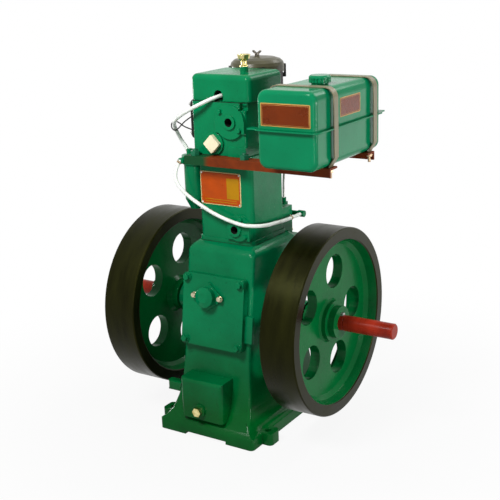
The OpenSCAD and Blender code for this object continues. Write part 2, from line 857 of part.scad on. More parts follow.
// Steel angle with its flat leg on top, its back against the cylinder
module tank_bracket(left_x) {
    bar_l = bracket_right_x - left_x;
    difference() {
        translate([left_x, -cyl_d / 2 - bracket_w, joint_z]) {
            translate([0, 0, -bracket_t]) cube([bar_l, bracket_w, bracket_t]);
            translate([0, 0, -bracket_h]) cube([bar_l, bracket_t, bracket_h]);
        }
        children();
    }
}

module bolt_holes(y) {
    for (x = [tank_x + bolt_in, tank_outer_x - bolt_in])
        translate([x, y, joint_z - bracket_t - overrun])
        cylinder(d = bolt_d + 2 * fit_clear, h = bracket_t + 2 * overrun);
}

module tank_bracket_front() {
    color(oxide) tank_bracket(bracket_left_x) bolt_holes(strap_ys[0]);
}

module tank_bracket_rear() {
    color(oxide) mirror([0, 1, 0]) tank_bracket(bracket_rear_left_x) bolt_holes(-strap_ys[1]);
}

// Closed pressing with round long edges and softly rounded ends
module tank_form() {
    hull() for (x = [-1, 1], z = [-1, 1], y = [0, 1])
        translate([tank_mid_x + x * (tank_w / 2 - tank_r), -tank_front_y + tank_edge_r
            + y * (tank_l - 2 * tank_edge_r), tank_z + tank_h / 2 + z * (tank_h / 2 - tank_r)])
        rotate([90, 0, 0]) rotate_extrude($fn = hull_fn) translate([tank_r - tank_edge_r, 0])
        circle(tank_edge_r, $fn = hull_fn);
}

module tank_half(low, high) {
    intersection() {
        tank_form();
        translate([tank_x - overrun, -tank_front_y - overrun, low])
            cube([tank_w + 2 * overrun, tank_l + 2 * overrun, high - low]);
    }
}

module tank_lower() {
    color(enamel) {
        tank_half(tank_z, seam_z);
        difference() {
            translate([tank_mid_x, tank_l / 2 - tank_front_y, seam_z - seam_t]) {
                rounded_block(tank_w + 2 * seam_out, tank_l + 2 * seam_out, seam_t, tank_edge_r + seam_out);
                translate([-tank_w / 2 - tab_l, -tank_l / 2, 0]) cube([tab_l * 2, tab_w, seam_t]);
                translate([tank_w / 2 - tab_w, tank_l / 2 - tab_l, 0]) cube([tab_w, tab_l * 2, seam_t]);
            }
            for (y = strap_ys) translate([tank_mid_x, y, seam_z - seam_t - overrun])
                linear_extrude(seam_t * 2) difference() {
                    square([tank_w * 2, strap_w + 2 * seat_clear], center = true);
                    square([tank_w + 2 * (strap_gap - seat_clear), strap_w * 2], center = true);
                }
        }
    }
}

module tank_upper() {
    color(enamel) {
        tank_half(seam_z, tank_top_z + overrun);
        translate([tank_cap_x, tank_cap_y, tank_top_z - tank_r])
            cylinder(d = tank_neck_d, h = tank_r + tank_neck_h);
    }
}

module tank_cap() {
    r = tank_cap_d / 2;
    color(enamel) translate([tank_cap_x, tank_cap_y, tank_top_z + tank_neck_h]) difference() {
        rotate_extrude() polygon([[0, 0], [r, 0], [r, tank_cap_h - cap_round], [r - cap_round, tank_cap_h],
            [0, tank_cap_h]]);
        for (i = [0:cap_grips - 1]) rotate([0, 0, 360 * i / cap_grips]) translate([r, 0, -overrun])
            cylinder(d = cap_grip_d, h = tank_cap_h - 2 * cap_round, $fn = 16);
    }
}

// Steel band over the tank that stands off at the sides, its feet drawn in to the bolts
module tank_strap(y) {
    in_x = tank_w / 2 + strap_gap;
    out_x = in_x + strap_t;
    foot_x = tank_w / 2 - bolt_in - strap_t / 2;
    foot_low = seat_clear - tank_h / 2;
    foot_top = strap_foot_h - tank_h / 2;
    color(strap_grey) translate([tank_mid_x, y, tank_z + tank_h / 2]) rotate([90, 0, 0])
        linear_extrude(strap_w, center = true) {
            difference() {
                rounded_plan(2 * out_x, tank_h + 2 * (seat_clear + strap_t), tank_r + strap_t);
                rounded_plan(2 * in_x, tank_h + 2 * seat_clear, tank_r);
                translate([-tank_w, -tank_h]) square([2 * tank_w, foot_top + tank_h]);
            }
            both_sides() polygon([[in_x, foot_top], [out_x, foot_top], [foot_x + strap_t, foot_low],
                [foot_x, foot_low]]);
        }
}

module tank_strap_front() { tank_strap(strap_ys[0]); }

module tank_strap_rear() { tank_strap(strap_ys[1]); }

module strap_bolts() {
    color(steel_grey) for (x = [tank_x + bolt_in, tank_outer_x - bolt_in], y = strap_ys)
        translate([x, y, 0]) {
            translate([0, 0, joint_z - bolt_drop]) cylinder(d = bolt_d, h = bolt_drop);
            translate([0, 0, joint_z - bracket_t - bolt_nut_h]) hex_prism(bolt_nut_af, bolt_nut_h);
        }
}

module filter_bowl() {
    r = filter_d / 2;
    color(enamel) translate([filter_x, filter_y, filter_top_z - filter_h]) rotate_extrude()
        polygon([[0, 0], [filter_tip_d / 2, 0], [r - filter_round / 2, filter_round], [r, 2 * filter_round],
            [r, filter_h], [0, filter_h]]);
}

module filter_head() {
    color(enamel) {
        translate([filter_x, filter_y, filter_top_z]) cylinder(d = filter_head_d, h = filter_head_h);
        translate([filter_x, filter_y - filter_lug_w / 2, filter_top_z])
            cube([-cyl_w / 2 - filter_x, filter_lug_w, filter_head_h]);
        translate([union_out[0], union_out[1], filter_top_z + filter_head_h / 2])
            bar_front(union_d, union_out_l);
        translate([union_in[0], union_in[1], filter_top_z + filter_head_h])
            cylinder(d = union_d, h = union_h);
    }
}

module wire_loop() {
    color(black_iron) swept_tube(wire_route, wire_d, wire_sides);
}

module return_tube() {
    color(tube_white) swept_tube(return_route, tube_d, tube_sides);
}

module fuel_tube() {
    color(tube_white) swept_tube(fuel_route, tube_d, tube_sides);
}

module key_slot(extra) {
    both_sides() translate([wheel_outer_x - key_l - extra, -key_w / 2 - extra, key_z - extra])
        cube([key_l + key_proud + 2 * extra, key_w + 2 * extra, key_h + 2 * extra]);
}

module crankshaft() {
    end = shaft_l / 2;
    color(shaft_red) difference() {
        translate([-end, 0, crank_z]) rotate([0, 90, 0]) rotate_extrude()
            polygon([[0, 0], [shaft_r - shaft_chamfer, 0], [shaft_r, shaft_chamfer],
                [shaft_r, shaft_l - shaft_chamfer], [shaft_r - shaft_chamfer, shaft_l], [0, shaft_l]]);
        key_slot(fit_clear);
        both_sides() translate([0, 0, crank_z]) difference() {
            bar_x(shaft_d * 2, shaft_groove_x, shaft_groove_x + shaft_groove_w);
            bar_x(shaft_d - 2 * shaft_groove_t, 0, shaft_l);
        }
    }
}

// Half section of a flywheel: hub, web and rim, radius against distance along the shaft
function wheel_section() = let (bore = shaft_r + fit_clear, step_r = hub_step_d / 2) [
    [bore, wheel_inner_x + hub_inset], [hub_r, wheel_inner_x + hub_inset], [hub_r, web_low_x - web_fillet],
    [hub_r + web_fillet, web_low_x], [rim_r - rim_draft - web_fillet, web_low_x],
    [rim_r - rim_draft, web_low_x - web_fillet], [rim_r, wheel_inner_x + rim_bevel],
    [rim_r + rim_bevel, wheel_inner_x], [wheel_r - rim_bevel, wheel_inner_x],
    [wheel_r, wheel_inner_x + rim_bevel], [wheel_r, wheel_outer_x - rim_bevel],
    [wheel_r - rim_bevel, wheel_outer_x], [rim_r + rim_bevel, wheel_outer_x],
    [rim_r, wheel_outer_x - rim_bevel], [rim_r - rim_draft, web_high_x + web_fillet],
    [rim_r - rim_draft - web_fillet, web_high_x], [step_r + web_fillet / 2, web_high_x],
    [step_r, web_high_x + web_fillet / 2], [step_r, web_high_x + hub_step_l],
    [hub_r, web_high_x + hub_step_l], [hub_r, wheel_outer_x], [bore, wheel_outer_x]];

module flywheel() {
    color(enamel) difference() {
        translate([0, 0, crank_z]) difference() {
            rotate([0, 90, 0]) rotate_extrude() polygon(wheel_section());
            for (i = [0:web_holes - 1]) rotate([web_hole_turn + 360 * i / web_holes, 0, 0])
                translate([0, web_hole_pitch_r, 0])
                bar_x(web_hole_d, web_low_x - web_fillet, web_high_x + web_fillet);
        }
        key_slot(fit_clear);
    }
}

module flywheel_left() { mirror([1, 0, 0]) flywheel(); }

module flywheel_right() { flywheel(); }

module flywheel_keys() {
    color(steel_grey) key_slot(0);
}

crankcase();
crankcase_door();
breather_cap();
sump_box();
drain_plug();
bearing_housing_left();
bearing_housing_right();
cam_housing();
pushrod_tubes();
fuel_pump();
injector_pipe();
cylinder_block();
cylinder_head();
rocker_cover();
oil_cup();
compression_plug();
head_studs();
exhaust_flange();
air_cleaner_bowl();
air_cleaner_lid();
air_cleaner_wing_nut();
air_cleaner_clips();
inlet_elbow();
tank_bracket_front();
tank_bracket_rear();
tank_lower();
tank_upper();
tank_cap();
tank_strap_front();
tank_strap_rear();
strap_bolts();
filter_bowl();
filter_head();
wire_loop();
return_tube();
fuel_tube();
crankshaft();
flywheel_left();
flywheel_right();
flywheel_keys();
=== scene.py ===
"""Looks of a vertical single-cylinder slow speed diesel engine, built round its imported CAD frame."""

import math

import bmesh
import bpy
from mathutils import Matrix, Vector


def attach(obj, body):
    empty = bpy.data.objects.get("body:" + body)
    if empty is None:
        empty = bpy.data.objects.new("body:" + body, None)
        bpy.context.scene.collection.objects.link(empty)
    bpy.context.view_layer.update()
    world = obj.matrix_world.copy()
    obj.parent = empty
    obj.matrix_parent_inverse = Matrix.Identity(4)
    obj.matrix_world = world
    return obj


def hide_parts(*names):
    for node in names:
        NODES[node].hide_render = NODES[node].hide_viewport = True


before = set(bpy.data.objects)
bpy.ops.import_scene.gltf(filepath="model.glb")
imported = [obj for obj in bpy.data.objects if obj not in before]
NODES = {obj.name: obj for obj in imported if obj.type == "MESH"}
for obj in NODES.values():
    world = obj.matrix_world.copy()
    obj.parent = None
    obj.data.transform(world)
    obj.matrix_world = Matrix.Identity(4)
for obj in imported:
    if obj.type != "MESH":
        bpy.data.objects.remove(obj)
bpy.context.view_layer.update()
scene = bpy.context.scene
scene.view_settings.view_transform = "Standard"

# Camera at the photograph's viewing angle

EYE = Vector((1.7123, -2.6096, 1.4817))
AIM = Vector((0.0238, 0.0, 0.5651))
ROLL = math.radians(-2.0)
LENS_MM = 71.76


def make_camera():
    forward = (AIM - EYE).normalized()
    side = forward.cross(Vector((0, 0, 1))).normalized()
    rise = side.cross(forward)
    right = side * math.cos(ROLL) + rise * math.sin(ROLL)
    up = rise * math.cos(ROLL) - side * math.sin(ROLL)
    camera = bpy.data.objects.new("camera", bpy.data.cameras.new("camera"))
    camera.data.sensor_width = 36.0
    camera.data.lens = LENS_MM
    camera.data.clip_start, camera.data.clip_end = 0.05, 50.0
    turn = Matrix((right, up, -forward)).transposed().to_4x4()
    camera.matrix_world = Matrix.Translation(EYE) @ turn
    scene.collection.objects.link(camera)
    scene.camera = camera


make_camera()


# Materials: each is a small node tree, in object coordinates, so that the detail keeps its real scale

class Tree:
    """A material's node tree with short calls for the nodes that are used here."""

    def __init__(self, name, **sockets):
        self.material = bpy.data.materials.new(name)
        self.material.use_nodes = True
        self.nodes = self.material.node_tree.nodes
        self.links = self.material.node_tree.links
        self.shader = self.nodes["Principled BSDF"]
        self.place = self.nodes.new("ShaderNodeTexCoord").outputs["Object"]
        for socket, value in sockets.items():
            self.shader.inputs[socket.replace("_", " ")].default_value = value

    def link(self, output, target):
        self.links.new(output, target)

    def stretch(self, scale):
        node = self.nodes.new("ShaderNodeMapping")
        node.inputs["Scale"].default_value = scale
        self.link(self.place, node.inputs["Vector"])
        return node.outputs["Vector"]

    def noise(self, scale, detail=3.0, rough=0.55, vector=None):
        node = self.nodes.new("ShaderNodeTexNoise")
        node.inputs["Scale"].default_value = scale
        node.inputs["Detail"].default_value = detail
        node.inputs["Roughness"].default_value = rough
        self.link(vector or self.place, node.inputs["Vector"])
        return node.outputs["Fac"]

    def ramp(self, value, stops):
        """A colour ramp with two stops, each a position and a colour."""
        node = self.nodes.new("ShaderNodeValToRGB")
        for point, (position, colour) in zip(node.color_ramp.elements, stops):
            point.position = position
            point.color = (*colour, 1.0)
        self.link(value, node.inputs["Fac"])
        return node.outputs["Color"]

    def span(self, value, low, high):
        """The middle part of a noise, mapped to run from low to high."""
        node = self.nodes.new("ShaderNodeMapRange")
        node.inputs["From Min"].default_value = 0.3
        node.inputs["From Max"].default_value = 0.7
        node.inputs["To Min"].default_value = low
        node.inputs["To Max"].default_value = high
        self.link(value, node.inputs["Value"])
        return node.outputs["Result"]

    def along(self, axis, low, high, waver):
        """0 up to low and 1 from high along an axis, with a wavering border."""
        split = self.nodes.new("ShaderNodeSeparateXYZ")
        self.link(self.place, split.inputs[0])
        border = self.nodes.new("ShaderNodeMath")
        border.operation = "MULTIPLY_ADD"
        border.inputs[1].default_value = waver
        self.link(self.noise(9.0), border.inputs[0])
        self.link(split.outputs[axis], border.inputs[2])
        node = self.nodes.new("ShaderNodeMapRange")
        node.inputs["From Min"].default_value = low + waver / 2
        node.inputs["From Max"].default_value = high + waver / 2
        self.link(border.outputs[0], node.inputs["Value"])
        return node.outputs["Result"]

    def blend(self, share, first, second, mode="MIX"):
        node = self.nodes.new("ShaderNodeMix")
        node.data_type = "RGBA"
        node.blend_type = mode
        self.put(share, node.inputs["Factor"])
        self.put(first, node.inputs[6])
        self.put(second, node.inputs[7])
        return node.outputs[2]

    def put(self, value, socket):
        if isinstance(value, bpy.types.NodeSocket):
            self.link(value, socket)
        elif isinstance(value, tuple):
            socket.default_value = (*value, 1.0)
        else:
            socket.default_value = value

    def bump(self, height, strength, depth, after=None):
        node = self.nodes.new("ShaderNodeBump")
        node.inputs["Strength"].default_value = strength
        node.inputs["Distance"].default_value = depth
        self.link(height, node.inputs["Height"])
        if after:
            self.link(after, node.inputs["Normal"])
        return node.outputs["Normal"]

    def soft_edge(self, radius):
        node = self.nodes.new("ShaderNodeBevel")
        node.samples = 6
        node.inputs["Radius"].default_value = radius
        return node.outputs["Normal"]

    def finish(self, colour, rough, normal):
        for value, socket in ((colour, "Base Color"), (rough, "Roughness"), (normal, "Normal")):
            self.link(value, self.shader.inputs[socket])
        return self.material


def srgb(*channels):
    """Linear colour of a display colour given from 0 to 255."""
    shares = [c / 255 for c in channels]
    return tuple(((s + 0.055) / 1.055) ** 2.4 if s > 0.04045 else s / 12.92 for s in shares)


def scaled(colour, share):
    """A colour made darker or lighter."""
    return tuple(min(1.0, c * share) for c in colour)


WHITE = (1.0, 1.0, 1.0)


def paint(name, colour, cast, edge=0.0025, rough=(0.16, 0.28), coat=0.14, shade=0.72, bottom_shade_tint=None):
    """Brushed or sprayed gloss paint: cloudy colour, orange peel, and the casting's skin under it."""
    t = Tree(name, IOR=1.12, Coat_Weight=coat, Coat_Roughness=0.05, Coat_IOR=1.45)
    clouds = t.ramp(t.noise(5.0, 4.0), [(0.32, scaled(colour, shade)), (0.62, colour)])
    specks = t.ramp(t.noise(90.0, 2.0), [(0.24, (0.35, 0.35, 0.33)), (0.36, WHITE)])
    tint = t.blend(0.35, clouds, specks, "MULTIPLY")
    # Painted shade: the colour is darkened towards the bottom, where less light falls
    if bottom_shade_tint:
        painted_bottom_shade = t.ramp(t.along("Z", 0.1, 0.36, 0.12), [(0.0, bottom_shade_tint), (1.0, WHITE)])
        tint = t.blend(1.0, tint, painted_bottom_shade, "MULTIPLY")
    peel = t.bump(t.noise(420.0, 2.0), 0.25, 0.0006, t.soft_edge(edge))
    skin = t.bump(t.noise(75.0, 5.0, 0.6), cast, 0.0035, peel)
    t.link(peel, t.shader.inputs["Coat Normal"])
    return t.finish(tint, t.span(t.noise(22.0, 3.0), *rough), skin)


def turned(name, colour, rough, metallic=0.0, coat=0.0):
    """A surface turned about X: fine rings across the axis, with oily or polished smears along them."""
    t = Tree(name, Metallic=metallic, Coat_Weight=coat, Coat_Roughness=0.12, Coat_IOR=1.2, IOR=1.18)
    rings = t.noise(1.0, 4.0, 0.7, t.stretch((900.0, 3.0, 3.0)))
    smear = t.noise(1.0, 3.0, 0.6, t.stretch((30.0, 6.0, 6.0)))
    tint = t.ramp(smear, [(0.3, scaled(colour, 0.7)), (0.7, scaled(colour, 1.25))])
    return t.finish(tint, t.span(smear, *rough), t.bump(rings, 0.3, 0.0006, t.soft_edge(0.0015)))


def metal(name, colour, rough, dull):
    """Plain machined or plated metal with faint stains and scratches."""
    t = Tree(name, Metallic=1.0)
    stain = t.noise(60.0, 5.0, 0.65)
    tint = t.ramp(stain, [(0.35, dull), (0.62, colour)])
    marks = t.bump(t.noise(700.0, 2.0), 0.2, 0.0004, t.soft_edge(0.0008))
    return t.finish(tint, t.span(stain, rough[1], rough[0]), marks)


def matt(name, colour, rough, vary=0.6, grain=0.35, coat=0.0, over=None):
    """Thin or chalky paint: patchy colour and a fine grain; its left end can take another colour."""
    t = Tree(name, IOR=1.25, Coat_Weight=coat, Coat_Roughness=0.2)
    patch = t.noise(26.0, 5.0, 0.62)
    tint = t.ramp(patch, [(0.3, scaled(colour, vary)), (0.66, colour)])
    if over:
        tint = t.blend(t.along("X", -0.04, -0.02, 0.05), over, tint)
    skin = t.bump(t.noise(160.0, 4.0), grain, 0.0008, t.soft_edge(0.0012))
    return t.finish(tint, t.span(patch, *rough), skin)


def printed(name, colour, rough, vary):
    """Ink on a smooth plate."""
    return matt(name, colour, rough, vary, grain=0.1, coat=0.06)


# The cast enamel is painted darker towards its bottom, as painted shade
ENAMEL = paint("cast_green_enamel", srgb(0, 124, 76), 0.22, bottom_shade_tint=(0.5, 0.48, 0.2))
WHEEL = paint("wheel_green_enamel", srgb(0, 107, 50), 0.22)
NUT = paint("painted_nut", srgb(30, 112, 78), 0.05, edge=0.001, rough=(0.12, 0.22), coat=0.2)
SHEET = paint("pressed_green_enamel", srgb(0, 128, 82), 0.05, rough=(0.12, 0.2), coat=0.16, shade=0.82)
SHAFT = turned("red_shaft_paint", srgb(146, 40, 22), (0.22, 0.36), coat=0.2)
RIM = turned("dark_oiled_rim", srgb(29, 30, 5), (0.26, 0.42), metallic=0.6)
# The bracket's left end is coloured a dark green, with a wavering border
OXIDE = matt("red_oxide_primer", srgb(120, 48, 10), (0.5, 0.7), over=srgb(12, 66, 34))
STRAP = matt("galvanised_strap", srgb(134, 128, 102), (0.36, 0.5), vary=0.8, coat=0.1)
BRASS = metal("brass", (0.78, 0.68, 0.34), (0.14, 0.28), (0.46, 0.38, 0.13))
ZINC = metal("yellow_zinc", (0.66, 0.6, 0.44), (0.22, 0.42), (0.36, 0.3, 0.18))
BROWNED = metal("browned_steel", (0.4, 0.3, 0.19), (0.24, 0.42), (0.15, 0.09, 0.05))
DARK_STEEL = metal("dark_steel", (0.2, 0.18, 0.15), (0.24, 0.42), (0.07, 0.06, 0.05))
STEEL = metal("bare_steel", (0.56, 0.56, 0.54), (0.2, 0.4), (0.3, 0.29, 0.27))
CREAM = matt("cream_paint", srgb(252, 240, 204), (0.32, 0.48), vary=0.88)
BLACK = matt("black_iron", srgb(34, 33, 30), (0.36, 0.55), vary=0.7)
LID = matt("grey_lid_paint", srgb(80, 77, 54), (0.26, 0.42), vary=0.7, coat=0.15)
GASKET = matt("gasket", srgb(30, 34, 28), (0.7, 0.85), vary=0.7)
ORANGE = printed("orange_print", srgb(184, 72, 2), (0.26, 0.36), 0.82)
OCHRE = printed("ochre_print", srgb(182, 128, 2), (0.26, 0.36), 0.86)
MAROON = printed("maroon_print", srgb(118, 46, 4), (0.24, 0.34), 0.8)
PALE_GOLD = printed("pale_gold_print", srgb(222, 204, 142), (0.28, 0.4), 0.85)
GOLD = printed("gold_print", srgb(206, 160, 84), (0.28, 0.4), 0.85)


def tube_plastic():
    t = Tree("white_tube", IOR=1.5, Subsurface_Weight=0.2, Subsurface_Scale=0.004)
    t.shader.inputs["Subsurface Radius"].default_value = (1.0, 1.0, 0.9)
    milk = t.noise(45.0, 3.0)
    tint = t.ramp(milk, [(0.3, srgb(222, 230, 220)), (0.68, srgb(246, 250, 244))])
    return t.finish(tint, t.span(milk, 0.24, 0.4), t.bump(t.noise(300.0, 2.0), 0.12, 0.0004))


TUBE = tube_plastic()


# Cords: the two plastic tubes follow the same routes as their CAD solids, in millimetres

TUBE_D = 0.012
ROUTE_STEPS = 6
RETURN_ROUTE = [(-4, -62, 1076), (-10, -86, 1075), (-26, -109, 1068), (-57, -126, 1053),
    (-98, -132, 1033), (-137, -127, 1012), (-168, -112, 993), (-188, -88, 972), (-196, -64, 947),
    (-194, -48, 921), (-181, -42, 898), (-165, -46, 878)]
FUEL_ROUTE = [(-160, -104, 867), (-166, -112, 852), (-169, -120, 834), (-166, -127, 814),
    (-154, -132, 794), (-132, -133, 773), (-102, -131, 752), (-66, -129, 732), (-26, -127, 713),
    (18, -125, 698), (58, -125, 689), (86, -123, 685), (107, -113, 683), (120, -94, 680),
    (125, -68, 676), (124, -36, 671), (119, 0, 666), (117, 54, 660), (116, 112, 657), (115, 173, 655)]


def smooth_route(points):
    """A smooth curve through the points, as in the part's source, in metres."""
    p = [Vector(q) / 1000 for q in points]
    last = len(p) - 1
    out = []
    for i in range(last):
        a, b, c, d = p[max(i - 1, 0)], p[i], p[i + 1], p[min(i + 2, last)]
        for s in range(ROUTE_STEPS):
            t = s / ROUTE_STEPS
            out.append((2 * b + (c - a) * t + (2 * a - 5 * b + 4 * c - d) * t * t
                + (3 * b - a - 3 * c + d) * t ** 3) / 2)
    return out + [p[last]]


def make_tube(name, route, node):
    points = smooth_route(route)
    curve = bpy.data.curves.new(name, "CURVE")
    curve.dimensions = "3D"
    curve.bevel_depth = TUBE_D / 2
    curve.bevel_resolution = 5
    curve.use_fill_caps = True
    spline = curve.splines.new("POLY")
    spline.points.add(len(points) - 1)
    for place, point in zip(spline.points, points):
        place.co = (*point, 1.0)
    spline.use_smooth = True
    curve.materials.append(TUBE)
    tube = bpy.data.objects.new(name, curve)
    scene.collection.objects.link(tube)
    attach(tube, "engine")
    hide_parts(node)


make_tube("return_tube_soft", RETURN_ROUTE, "return_tube")
make_tube("fuel_tube_soft", FUEL_ROUTE, "fuel_tube")


# Mesh helpers: places are in metres

SIDES = (-1, 1)
FRONT = (0, -1, 0)
BACK = (0, 1, 0)
LEFT = (-1, 0, 0)
RIGHT = (1, 0, 0)
CORNER_STEPS = 6


def at(point, axis=(0, 0, 1), turn=0.0):
    """A frame at a point, its Z along axis."""
    z = Vector(axis).normalized()
    flat = z.to_track_quat("Z", "Y").to_matrix().to_4x4()
    return Matrix.Translation(Vector(point)) @ flat @ Matrix.Rotation(turn, 4, "Z")


def revolve(bm, profile, sides, place, index=0):
    """Adds a turned form from (radius, height) pairs, or a prism where sides is small."""
    rings = []
    for radius, height in profile:
        count = sides if radius > 1e-7 else 1
        rings.append([bm.verts.new(place @ Vector((radius * math.cos(2 * math.pi * k / sides),
            radius * math.sin(2 * math.pi * k / sides), height))) for k in range(count)])
    for low, high in zip(rings, rings[1:]):
        for k in range(sides):
            j = (k + 1) % sides
            corners = []
            for v in (low[k % len(low)], low[j % len(low)], high[j % len(high)], high[k % len(high)]):
                if v not in corners:
                    corners.append(v)
            if len(corners) > 2:
                bm.faces.new(corners).material_index = index


def round_rect(wide, high, corner, grow=0.0):
    """Points round a rectangle with round corners, whose edge is moved out by grow."""
    points = []
    for quarter, (sx, sy) in enumerate(((1, 1), (-1, 1), (-1, -1), (1, -1))):
        for step in range(CORNER_STEPS + 1):
            angle = math.pi / 2 * (quarter + step / CORNER_STEPS)
            points.append((sx * (wide / 2 - corner) + (corner + grow) * math.cos(angle),
                sy * (high / 2 - corner) + (corner + grow) * math.sin(angle)))
    return points


def join_rings(bm, low, top, index=0):
    """Adds the faces between two closed rings with as many corners each."""
    for k in range(len(low)):
        j = (k + 1) % len(low)
        bm.faces.new((low[k], low[j], top[j], top[k])).material_index = index


def rounded_slab(bm, wide, high, thick, corner, place, index=0, lift=0.0):
    """Adds a flat plate with round corners and a small edge, lifted off the frame's XY plane."""
    edge = min(thick * 0.4, 0.0012)
    rings = []
    for inset, height in ((0.0, lift), (0.0, lift + thick - edge), (edge, lift + thick)):
        outline = round_rect(wide, high, corner, -inset)
        rings.append([bm.verts.new(place @ Vector((x, y, height))) for x, y in outline])
    for low, top in zip(rings, rings[1:]):
        join_rings(bm, low, top, index)
    bm.faces.new(rings[-1]).material_index = index
    bm.faces.new(list(reversed(rings[0]))).material_index = index


def add_piece(name, bm, materials, replaced=()):
    bmesh.ops.recalc_face_normals(bm, faces=bm.faces)
    mesh = bpy.data.meshes.new(name)
    bm.to_mesh(mesh)
    bm.free()
    for material in materials:
        mesh.materials.append(material)
    mesh.shade_smooth()
    mesh.set_sharp_from_angle(angle=math.radians(38))
    piece = bpy.data.objects.new(name, mesh)
    scene.collection.objects.link(piece)
    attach(piece, "engine")
    if replaced:
        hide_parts(*replaced)


def hex_head(bm, place, across, height, washer=0.0):
    """A hexagon head with a chamfered crown, on a washer where that has a diameter."""
    lift = 0.0
    if washer:
        lift = across * 0.12
        rim = washer / 2
        disc = [(0, 0), (rim, 0), (rim, lift * 0.7), (rim - lift * 0.3, lift), (0, lift)]
        revolve(bm, disc, 24, place)
    r = across / 2 / math.cos(math.pi / 6)
    top = lift + height
    revolve(bm, [(0, lift), (r, lift), (r, lift + height * 0.78), (r * 0.84, top), (0, top)], 6, place)


def stud_end(bm, place, diameter, start, end):
    """A threaded stud end: a stack of fine rings with a chamfered tip."""
    r = diameter / 2
    pitch = diameter * 0.14
    profile = [(0, start)]
    height = start
    while height + pitch < end - pitch:
        profile += [(r, height), (r * 0.9, height + pitch / 2)]
        height += pitch
    profile += [(r, height), (r * 0.75, end), (0, end)]
    revolve(bm, profile, 16, place)


def softened(node, material, radius, picked):
    """A copy of a CAD node with its picked hard edges rounded, standing for the node."""
    bm = bmesh.new()
    bm.from_mesh(NODES[node].data)
    bmesh.ops.remove_doubles(bm, verts=bm.verts, dist=2e-5)
    bmesh.ops.dissolve_limit(bm, angle_limit=math.radians(0.4), verts=bm.verts, edges=bm.edges)
    hard = math.radians(32.0)
    edges = [e for e in bm.edges
        if len(e.link_faces) == 2 and e.calc_face_angle(0.0) > hard and picked(e)]
    bmesh.ops.bevel(bm, geom=edges, offset=radius, offset_type="OFFSET", segments=4, profile=0.5,
        affect="EDGES", clamp_overlap=False)
    add_piece(node + "_rounded", bm, [material], [node])


# CAD nodes: every one gets its finish

def finish_nodes(material, *names):
    for name in names:
        mesh = NODES[name].data
        mesh.materials.clear()
        mesh.materials.append(material)


finish_nodes(ENAMEL, "crankcase", "crankcase_door", "breather_cap", "sump_box", "bearing_housing_left",
    "bearing_housing_right", "cam_housing", "cylinder_block", "cylinder_head", "rocker_cover",
    "inlet_elbow", "filter_head", "filter_bowl", "pushrod_tubes", "fuel_pump")
finish_nodes(WHEEL, "flywheel_left", "flywheel_right")
finish_nodes(SHEET, "tank_lower", "tank_upper", "tank_cap")
finish_nodes(BRASS, "drain_plug", "oil_cup")
finish_nodes(STEEL, "injector_pipe", "flywheel_keys")
finish_nodes(NUT, "head_studs")
finish_nodes(BROWNED, "strap_bolts")
finish_nodes(DARK_STEEL, "air_cleaner_wing_nut")
finish_nodes(CREAM, "compression_plug")
finish_nodes(BLACK, "exhaust_flange", "wire_loop", "air_cleaner_bowl", "air_cleaner_clips")
finish_nodes(LID, "air_cleaner_lid")
finish_nodes(OXIDE, "tank_bracket_front", "tank_bracket_rear")
finish_nodes(STRAP, "tank_strap_front", "tank_strap_rear")
finish_nodes(SHAFT, "crankshaft")

CASE_CORNER_R = 0.011
SHOULDER_Z = 0.594
NEAR = 0.001


def corner_edge(edge):
    """The casting's four rising corners, above its base, and the outer edge of its shoulder."""
    first, second = (v.co for v in edge.verts)
    middle = (first + second) / 2
    run = second - first
    level = abs(run.z) < NEAR and abs(middle.z - SHOULDER_Z) < NEAR
    rising = abs(run.z) > 0.4 * run.length and middle.z > 0.05
    return level or (rising and abs(middle.x) > 0.1 and abs(middle.y) > 0.11)


softened("crankcase", ENAMEL, CASE_CORNER_R, corner_edge)

CRANK = Vector((0.0, 0.0, 0.372))
RIM_INNER_R = 0.2625


def paint_rim(name):
    """The rim's tread and its two side faces are dark and oiled; the rest of the wheel is green."""
    mesh = NODES[name].data
    mesh.materials.append(RIM)
    for face in mesh.polygons:
        reach = face.center - CRANK
        if math.hypot(reach.y, reach.z) > RIM_INNER_R:
            face.material_index = 1


paint_rim("flywheel_left")
paint_rim("flywheel_right")

# Places on the sloping door: across, up the slope and out of it

DOOR_MIDDLE = Vector((-0.005, -0.1631, 0.403))
DOOR_UP = Vector((0.0, 0.14049, 0.99008))
DOOR_OUT = Vector((0.0, -0.99008, 0.14049))


def on_door(across, up, out):
    return DOOR_MIDDLE + Vector((across, 0, 0)) + DOOR_UP * up + DOOR_OUT * out


def bolts(name, places, axis, across, height, material, washer=True):
    """Hexagon bolts in one piece, each turned a little differently; across is over the flats."""
    bm = bmesh.new()
    for i, point in enumerate(places):
        direction = axis[i] if isinstance(axis, list) else axis
        place = at(point, direction, 0.3 + 0.37 * i)
        hex_head(bm, place, across, height, across * 1.25 if washer else 0.0)
    add_piece(name, bm, [material])


DOOR_FACE, BREATHER_FACE = 0.0291, 0.0331
DOOR_BOLT_X, DOOR_BOLT_UP = 0.099, 0.1005
BREATHER_X, BREATHER_UP, BREATHER_BOLT_X = -0.0161, 0.04846, 0.0485
bolts("door_bolts",
    [on_door(x * DOOR_BOLT_X, z * DOOR_BOLT_UP, DOOR_FACE) for x in SIDES for z in SIDES],
    DOOR_OUT, 0.019, 0.008, ENAMEL)
bolts("breather_bolts",
    [on_door(BREATHER_X + x * BREATHER_BOLT_X, BREATHER_UP, BREATHER_FACE) for x in SIDES],
    DOOR_OUT, 0.016, 0.008, ZINC)

HEAD_PORT_BOLTS = [(0.072, -0.113, 0.976), (0.004, -0.113, 1.031)]
BLOCK_PORT_BOLTS = [(0.079, -0.112, 0.643), (0.064, -0.112, 0.698)]
bolts("port_bolts", HEAD_PORT_BOLTS + BLOCK_PORT_BOLTS, FRONT, 0.014, 0.008, ENAMEL,
    washer=False)

